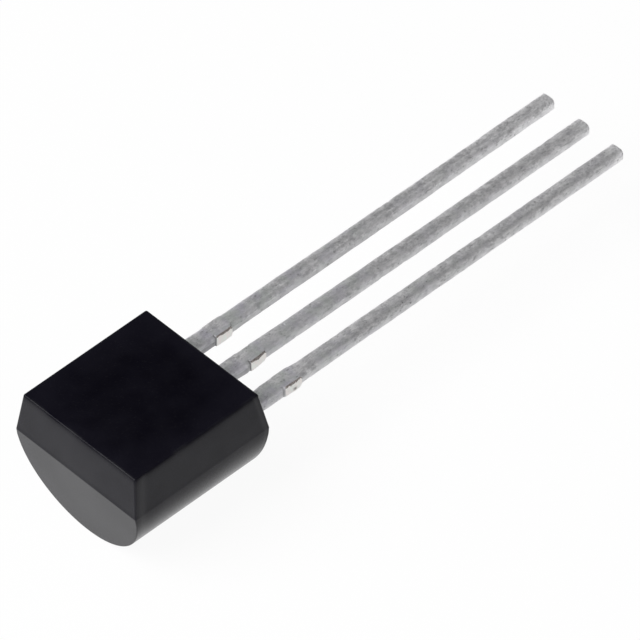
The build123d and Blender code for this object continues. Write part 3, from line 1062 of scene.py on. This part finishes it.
class LeadShape(bpy.types.PropertyGroup):
    """Rounding, unevenness, lean and uneven polish of the leads."""
    edge_radius: length("Edge radius", "Edges of the plated bar", 0.115 * MM)
    stub_edge_radius: length("Stub edge radius", "Right edges of the sheared stubs", 0.022 * MM)
    rolled_edge_radius: length("Rolled edge radius", "Left edges of the sheared stubs", 0.100 * MM)
    sheet_edge_radius: length("Sheet edge radius", "Edges of the stamped inner end", 0.008 * MM)
    tip_bevel: length("Tip bevel", "Bevel at the lead's tip", 0.05 * MM)
    notch_radius: length("Notch radius", "Lock notches inside the body", 0.15 * MM)
    post_corner_radius: length("Post corner radius", "Inner corners of the outer leads", 0.08 * MM)
    pad_corner_radius: length("Pad corner radius", "Inner corners of the die pad", 0.15 * MM)
    step_length: length("Step length", "Length over which an edge steps", 0.012 * MM)
    run_out: length("Run out", "Length over which a sheared face's sharp edges end", 0.06 * MM)
    station_spacing: length("Station spacing", "Distance between sections", 0.045 * MM)
    plain_length: length("Plain length", "Length over which unevenness sets in", 0.15 * MM)
    wave_length: length("Wave length", "Slow waves along the bar", 0.55 * MM)
    wave_height: length("Wave height", "Height of the slow waves", 0.006 * MM)
    grain_length: length("Grain length", "Fine unevenness along the bar", 0.10 * MM)
    grain_height: length("Grain height", "Height of the fine unevenness", 0.003 * MM)
    pit_radius: length("Pit radius", "Size of the pits", 0.05 * MM)
    pit_depth: length("Pit depth", "Depth of the pits", 0.012 * MM)
    pit_count: steps("Pits", "Pits on each lead", 60)
    swell: lead_lengths("Swell", "Extra width near the body", (0.070 * MM, 0.050 * MM, 0.022 * MM))
    swell_length: length("Swell length", "Length over which that width runs out", 4.5 * MM)
    root_length: length("Root length", "Length over which stains near the body fade", 5.0 * MM)
    shoulder_length: length("Shoulder length", "Dark step before each sheared face", 0.035 * MM)
    brim_width: share("Brim width", "Share of the front's width that its bright left brim takes", 0.26)
    # Strength of the painted reflection along the left brim.
    brim_painted_reflection: share("Brim polish", "How much brighter that brim is", 0.28)
    band_width: share("Band width", "Share of the front's width that its dark band takes", 0.14)
    band_dulling: share("Band dulling", "How much duller that band is", 0.20)
    band_place: lead_shares("Band place", "Where it runs across each front", (0.49, 0.60, 0.73))
    band_start: length("Band start", "Length past the dam bar over which it sets in", 1.5 * MM)
    band_fade: share("Band fade", "How much weaker it is at the dam bar", 0.8)
    # Strength of the painted floor reflection on each lead's sides.
    side_painted_reflection: lead_shares("Side polish", "How much brighter the sides are by the back",
                             (0.06, 0.20, 0.32))
    root_polish: share("Root polish", "How much brighter the front is between body and dam bar", 0.10)
    # Strength of the painted shade of the body on each lead's root sides.
    root_painted_shade: lead_shares("Root dulling", "How much duller the sides are there",
                              (0.34, 0.25, 0.08))
    tip_polish: lead_shares("Tip polish", "How much brighter the front is at the tip",
                            (0.18, 0.08, 0.09))
    tip_side_gain: FloatProperty(name="Tip side gain", default=1.5, min=0.0, subtype="FACTOR",
                                 description="How much stronger that polish is by the back")
    end_polish: share("End polish", "How much brighter each lead is where it was cut off", 0.32)
    end_length: length("End length", "Length over which that runs out", 0.26 * MM)
    # Strength of the painted shade on the rounded edges.
    corner_painted_shade: share("Corner dulling", "How much duller the rounded edges are", 0.14)
    lean: FloatVectorProperty(name="Lean", description="Turn of each lead, from left to right", size=3,
                              default=(radians(-0.25), radians(-0.02), radians(0.08)),
                              precision=6, unit="ROTATION")
    cut_short: lead_lengths("Cut short", "How much shorter each lead is cut", (0.0, 0.0, 0.02 * MM))
    side_columns: steps("Side columns", "Columns across each face", 10)
    corner_columns: steps("Corner columns", "Columns round each edge", 6)
    corner_stations: steps("Corner stations", "Sections round an inner corner", 9)
    notch_stations: steps("Notch stations", "Sections round a lock notch", 25)
    bevel_stations: steps("Bevel stations", "Sections along the tip's bevel", 5)
    seed: IntProperty(name="Seed", description="Pattern of the unevenness", default=40, min=0)


class LeadFinish(bpy.types.PropertyGroup):
    """Colours, roughness and patterns of the plating and of the sheared metal."""
    tin: colour_choice("Tin", "Bright plating", (0.88, 0.874, 0.884))
    dull: colour_choice("Dull tin", "Dull plating", (0.40, 0.396, 0.407))
    stain: colour_choice("Stain", "Bluish stains", (0.52, 0.505, 0.585))
    stain_green: colour_choice("Green stain", "Greenish stains", (0.50, 0.54, 0.51))
    pit: colour_choice("Pit", "Pits, scratches and creases", (0.12, 0.12, 0.12))
    bare: colour_choice("Bare metal", "Sheared faces", (0.97, 0.92, 0.90))
    bare_pale: colour_choice("Pale bare metal", "Greener streaks of the sheared faces", (0.93, 0.96, 0.92))
    # Copper of the rolled edge together with painted shade of its curve.
    lip: colour_choice("Lip", "Rolled edge above a sheared face", (0.16, 0.14, 0.13))
    lip_pale: colour_choice("Pale lip", "Smeared patches of that edge", (0.44, 0.40, 0.38))
    metallic: share("Metallic", "How metallic the plating is", 0.7)
    side_contrast: share("Side contrast", "Contrast of the sides against that of the front", 0.28)
    roughness: share("Roughness", "Roughness of bright plating", 0.43)
    dull_roughness: share("Dull roughness", "Roughness of dull plating", 0.58)
    bare_roughness: share("Bare roughness", "Roughness of sheared faces", 0.42)
    lip_roughness: share("Lip roughness", "Roughness of the lips above them", 0.70)
    grain_size: length("Grain size", "Crystals of the plating", 0.025 * MM)
    mottle: share("Mottle", "How clearly dull mottling shows", 0.30)
    mottle_size: length("Mottle size", "Size of the mottling and of worn places", 0.35 * MM)
    edge_wear: share("Edge wear", "How far edges are rubbed bright", 0.30)
    patch_size: length("Patch size", "Small patches of the plating", 0.17 * MM)
    patch_share: share("Patch share", "Width of a patch against its length", 0.7)
    # Varies the polish and the painted light alike.
    broken_polish_and_painted_light: share("Broken polish", "How much the polish varies between patches", 0.25)
    streak_width: length("Streak width", "Drawn streaks", 0.06 * MM)
    streak_share: share("Streak share", "Width of a streak against its length", 0.5)
    hue_size: length("Hue size", "Bluish and greenish parts of the stains", 0.455 * MM)
    stain_size: length("Stain size", "Size of the stains", 0.70 * MM)
    root_stain: share("Root stain", "How strong stains are by the body", 0.55)
    far_stain: share("Far stain", "How strong stains are at the tips", 0.12)
    pit_spacing: length("Pit spacing", "Distance between small pits", 0.28 * MM)
    pit_strength: share("Pit strength", "How dark pits are", 0.75)
    scratch_width: length("Scratch width", "Fine scratches", 0.054 * MM)
    scratch_share: share("Scratch share", "Width of a scratch against its length", 0.35)
    scratch_strength: share("Scratch strength", "How dark scratches are", 0.65)
    ragged: share("Ragged", "How far upright streaks move a lip's lower edge", 0.30)
    torn: share("Torn", "How far torn spots move it", 0.35)
    torn_size: length("Torn size", "Size of the torn spots", 0.036 * MM)
    relief_height: length("Relief height", "Depth of streaks and grain", 0.0035 * MM)


class InnerFinish(bpy.types.PropertyGroup):
    """Colours of what the body holds."""
    silicon: colour_choice("Silicon", "Sawn silicon", (0.030, 0.034, 0.042))
    silicon_cell: colour_choice("Circuit", "Printed cells", (0.055, 0.060, 0.085))
    track: colour_choice("Track", "Metal tracks", (0.45, 0.44, 0.43))
    cell_size: length("Cell size", "Size of the printed cells", 0.12 * MM)
    adhesive: colour_choice("Adhesive", "Adhesive", (0.30, 0.30, 0.30))
    flake: colour_choice("Flake", "Silver flakes", (0.62, 0.62, 0.60))
    wire: colour_choice("Wire", "Copper of the bond wires", (0.90, 0.50, 0.34))
    wire_deep: colour_choice("Deep wire", "Darker copper", (0.70, 0.33, 0.20))


class StageSettings(bpy.types.PropertyGroup):
    """Camera, lamps and ground."""
    azimuth: FloatProperty(name="Azimuth", description="Camera's turn from straight ahead of the body",
                           default=radians(47.19), subtype="ANGLE")
    elevation: FloatProperty(name="Elevation", description="Camera's height above the floor",
                             default=radians(46.26), subtype="ANGLE")
    roll: FloatProperty(name="Roll", description="Camera's lean", default=radians(-1.02), subtype="ANGLE")
    distance: length("Distance", "Camera's distance", 297.34 * MM)
    aim: FloatVectorProperty(name="Aim", description="Point that the camera looks at", size=3,
                             default=(1.291 * MM, -1.6995 * MM, 3.59 * MM), subtype="TRANSLATION")
    focal: FloatProperty(name="Focal length", description="Camera's lens in millimetres", default=648.1)
    floor_size: length("Floor size", "Side of the floor", 1.6)
    floor_points: steps("Floor points", "Points along each side of the floor", 9)
    cloud_size: length("Cloud size", "Faint clouds in the floor's tone", 3 * MM)
    floor_colour: colour_choice("Floor", "Pale floor", (0.82, 0.82, 0.82))
    seen_white: share("Seen white", "Share of plain white in the floor as the camera sees it", 0.94)
    # Gloss sees these tones as emission: painted light, with a painted shadow past the part's right side.
    gloss_ahead: share("Gloss ahead", "Tone that gloss sees in the floor close to the closed end", 0.93)
    gloss_far: share("Gloss far", "Tone that gloss sees in the floor far ahead of the closed end", 0.74)
    gloss_beside: share("Gloss beside", "Tone that gloss sees in the floor under the part", 0.82)
    gloss_away_painted_shadow: share("Gloss away", "Tone that gloss sees in the floor past the part's right side", 0.58)
    gloss_step: length("Gloss step", "Length over which one tone turns into the next", 1.1 * MM)
    key_power: FloatProperty(name="Key lamp", description="Power of the key lamp in watts", default=0.92)
    fill_power: FloatProperty(name="Fill lamp", description="Power of the fill lamp in watts", default=0.18)
    horizon: share("Horizon", "Brightness of the surround at the horizon", 0.85)
    ceiling: share("Ceiling", "Brightness of the surround overhead", 0.06)
    ceiling_start: share("Ceiling start", "Sine of the height at which that is reached", 0.45)


# ---------------------------------------------------------------- operators

class MakeBody(bpy.types.Operator):
    """Build the moulded body's surface and give it the epoxy finish"""
    bl_idname = "reference.make_body"
    bl_label = "Moulded body"

    def execute(self, context):
        points, faces, attributes = body_surface(body_measures(), context.scene.reference_body)
        piece = surface_object("moulded_body_surface", points, faces, attributes)
        piece.data.materials.append(epoxy_material(context.scene.reference_epoxy))
        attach(piece, BODY)
        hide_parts("moulded_body")
        return {"FINISHED"}


class MakeLeads(bpy.types.Operator):
    """Build the three plated leads"""
    bl_idname = "reference.make_leads"
    bl_label = "Leads"

    def execute(self, context):
        material = tin_material(context.scene.reference_plating)
        for name in LEAD_SIDES:
            surface = lead_surface(name, lead_measures(name), context.scene.reference_leads)
            piece = surface_object(f"{name}_lead_surface", *surface)
            piece.data.materials.append(material)
            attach(piece, BODY)
            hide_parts(f"{name}_lead")
        return {"FINISHED"}


def dress_nodes(nodes, material):
    """Puts one material on CAD nodes that keep their own shapes."""
    for node in nodes:
        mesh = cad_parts[node].data
        mesh.materials.clear()
        mesh.materials.append(material)


class DressDie(bpy.types.Operator):
    """Give the die and its adhesive their finishes"""
    bl_idname = "reference.dress_die"
    bl_label = "Die and adhesive"

    def execute(self, context):
        finish = context.scene.reference_inner
        dress_nodes(["silicon_die"], silicon_material(finish))
        dress_nodes(["die_attach"], adhesive_material(finish))
        return {"FINISHED"}


class DressWires(bpy.types.Operator):
    """Give the bond wires their finish"""
    bl_idname = "reference.dress_wires"
    bl_label = "Bond wires"

    def execute(self, context):
        wires = [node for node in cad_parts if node.endswith("_bond_wire")]
        dress_nodes(wires, bond_metal_material(context.scene.reference_inner))
        return {"FINISHED"}


def floor_material(settings):
    """Pale floor that the camera sees nearly white with its shadow kept, and that gloss sees as emission
    with painted light and a painted shadow past the part's right side.
    """
    material = bpy.data.materials.new("floor")
    material.use_nodes = True
    nodes = Nodes(material.node_tree)
    material.node_tree.nodes.remove(material.node_tree.nodes["Principled BSDF"])
    place = nodes.add("ShaderNodeTexCoord").outputs["Object"]
    clouds = nodes.between(nodes.noise(place, settings.cloud_size, 3.0), 0.0, 1.0, 0.98, 1.02)
    colour = nodes.scaled(tuple(settings.floor_colour), clouds)
    lit = nodes.add("ShaderNodeBsdfDiffuse", {"Color": colour}).outputs[0]
    white = nodes.add("ShaderNodeEmission", {"Color": (1, 1, 1, 1), "Strength": 1.0}).outputs[0]
    path = nodes.add("ShaderNodeLightPath").outputs
    seen = nodes.math("MAXIMUM", path["Is Camera Ray"], path["Is Transmission Ray"])
    seen = nodes.math("MULTIPLY", seen, settings.seen_white)
    mixed = nodes.add("ShaderNodeMixShader", {0: seen, 1: lit, 2: white}).outputs[0]
    part = nodes.add("ShaderNodeSeparateXYZ", {0: place}).outputs
    # Painted light and shadow for gloss: bright ahead of the closed end and under the part, darker past its
    # right side.
    size, step = body_measures(), settings.gloss_step
    beside = nodes.between(part["X"], size["half_width"], size["half_width"] + step,
                           settings.gloss_beside, settings.gloss_away_painted_shadow)
    ahead = nodes.between(part["Y"], size["closed_end"] - 3 * step, size["closed_end"] - step,
                          settings.gloss_far, settings.gloss_ahead)
    painted_gloss_tone = nodes.between(part["Y"], size["closed_end"], size["closed_end"] + step, ahead, beside)
    pale = nodes.add("ShaderNodeEmission", {"Color": (1, 1, 1, 1), "Strength": painted_gloss_tone}).outputs[0]
    mixed = nodes.add("ShaderNodeMixShader", {0: path["Is Glossy Ray"], 1: mixed, 2: pale}).outputs[0]
    output = material.node_tree.nodes["Material Output"]
    material.node_tree.links.new(mixed, output.inputs["Surface"])
    return material


def make_floor(settings):
    """Flat square floor at the lowest line of the part."""
    count = settings.floor_points
    line = np.linspace(-settings.floor_size / 2, settings.floor_size / 2, count)
    x, y = np.meshgrid(line, line, indexing="ij")
    points = np.stack([x, y, 0 * x + cad_box[0][2]], axis=-1).reshape(-1, 3)
    mesh = bpy.data.meshes.new("floor")
    mesh.from_pydata(points, [], grid_faces(count, count).reshape(-1, 4).tolist())
    floor = bpy.data.objects.new("floor", mesh)
    mesh.materials.append(floor_material(settings))
    bpy.context.scene.collection.objects.link(floor)


def make_world(settings):
    """Surround that the camera sees white: pale at the horizon and dark overhead for all else."""
    world = bpy.data.worlds.new("studio")
    world.use_nodes = True
    bpy.context.scene.world = world
    nodes = Nodes(world.node_tree)
    background = world.node_tree.nodes["Background"]
    direction = nodes.add("ShaderNodeTexCoord").outputs["Generated"]
    up = nodes.add("ShaderNodeSeparateXYZ", {0: direction}).outputs["Z"]
    surround = nodes.between(up, 0.0, settings.ceiling_start, settings.horizon, settings.ceiling)
    path = nodes.add("ShaderNodeLightPath").outputs
    seen = nodes.add("ShaderNodeMix", {0: path["Is Camera Ray"], 2: surround, 3: 1.0}).outputs[0]
    world.node_tree.links.new(seen, background.inputs["Strength"])
    background.inputs["Color"].default_value = (1, 1, 1, 1)


# Where each soft lamp hangs: its direction from the part, its distance and its side in metres.
LAMP_PLACES = {"key": ((-0.25, -0.62, 0.80), 0.26, 0.20), "fill": ((0.85, -0.05, 0.55), 0.30, 0.24)}


def make_lamp(name, direction, distance, size, power):
    """Square soft lamp that looks at the part from that direction."""
    lamp = bpy.data.lights.new(name, "AREA")
    lamp.size, lamp.energy = size, power
    holder = bpy.data.objects.new(name, lamp)
    away = Vector(direction).normalized()
    turn = away.to_track_quat("Z", "Y").to_matrix().to_4x4()
    holder.matrix_world = Matrix.Translation(away * distance) @ turn
    bpy.context.scene.collection.objects.link(holder)


def make_camera(settings):
    """Camera at its azimuth, elevation and roll, looking at the aim point."""
    camera = bpy.data.cameras.new("camera")
    camera.lens, camera.sensor_width = settings.focal, 36.0
    camera.clip_start, camera.clip_end = 0.01, 10.0
    holder = bpy.data.objects.new("camera", camera)
    turn = (Matrix.Rotation(settings.azimuth, 4, "Z")
            @ Matrix.Rotation(pi / 2 - settings.elevation, 4, "X")
            @ Matrix.Rotation(settings.roll, 4, "Z"))
    back = turn @ Vector((0, 0, settings.distance))
    holder.matrix_world = Matrix.Translation(Vector(settings.aim) + back) @ turn
    bpy.context.scene.collection.objects.link(holder)
    bpy.context.scene.camera = holder


class MakeStage(bpy.types.Operator):
    """Build the floor, the surround, the lamps and the camera"""
    bl_idname = "reference.make_stage"
    bl_label = "Stage"

    def execute(self, context):
        settings = context.scene.reference_stage
        make_floor(settings)
        make_world(settings)
        make_lamp("key", *LAMP_PLACES["key"], settings.key_power)
        make_lamp("fill", *LAMP_PLACES["fill"], settings.fill_power)
        make_camera(settings)
        context.scene.view_settings.view_transform = "Standard"
        return {"FINISHED"}


class ReferencePanel(bpy.types.Panel):
    """Lists the pieces in the sidebar"""
    bl_idname = "VIEW3D_PT_reference"
    bl_label = "Voltage reference"
    bl_space_type = "VIEW_3D"
    bl_region_type = "UI"
    bl_category = "Reference"

    def draw(self, context):
        for maker in OPERATORS:
            self.layout.operator(maker.bl_idname)
        for group in GROUPS:
            settings = getattr(context.scene, group)
            box = self.layout.box()
            for name in settings.__annotations__:
                box.prop(settings, name)


OPERATORS = (MakeBody, MakeLeads, DressDie, DressWires, MakeStage)
GROUPS = {
    "reference_body": BodyShape,
    "reference_epoxy": EpoxyFinish,
    "reference_leads": LeadShape,
    "reference_plating": LeadFinish,
    "reference_inner": InnerFinish,
    "reference_stage": StageSettings,
}


def register():
    """Makes the settings, operators and panel known to Blender."""
    for name, group in GROUPS.items():
        bpy.utils.register_class(group)
        setattr(bpy.types.Scene, name, PointerProperty(type=group))
    for new_class in (*OPERATORS, ReferencePanel):
        bpy.utils.register_class(new_class)


def unregister():
    """Takes them away again."""
    for new_class in (ReferencePanel, *OPERATORS):
        bpy.utils.unregister_class(new_class)
    for name, group in GROUPS.items():
        delattr(bpy.types.Scene, name)
        bpy.utils.unregister_class(group)


def main():
    """Builds every piece and the stage."""
    register()
    for maker in OPERATORS:
        category, name = maker.bl_idname.split(".")
        getattr(getattr(bpy.ops, category), name)()


if __name__ == "__main__":
    main()
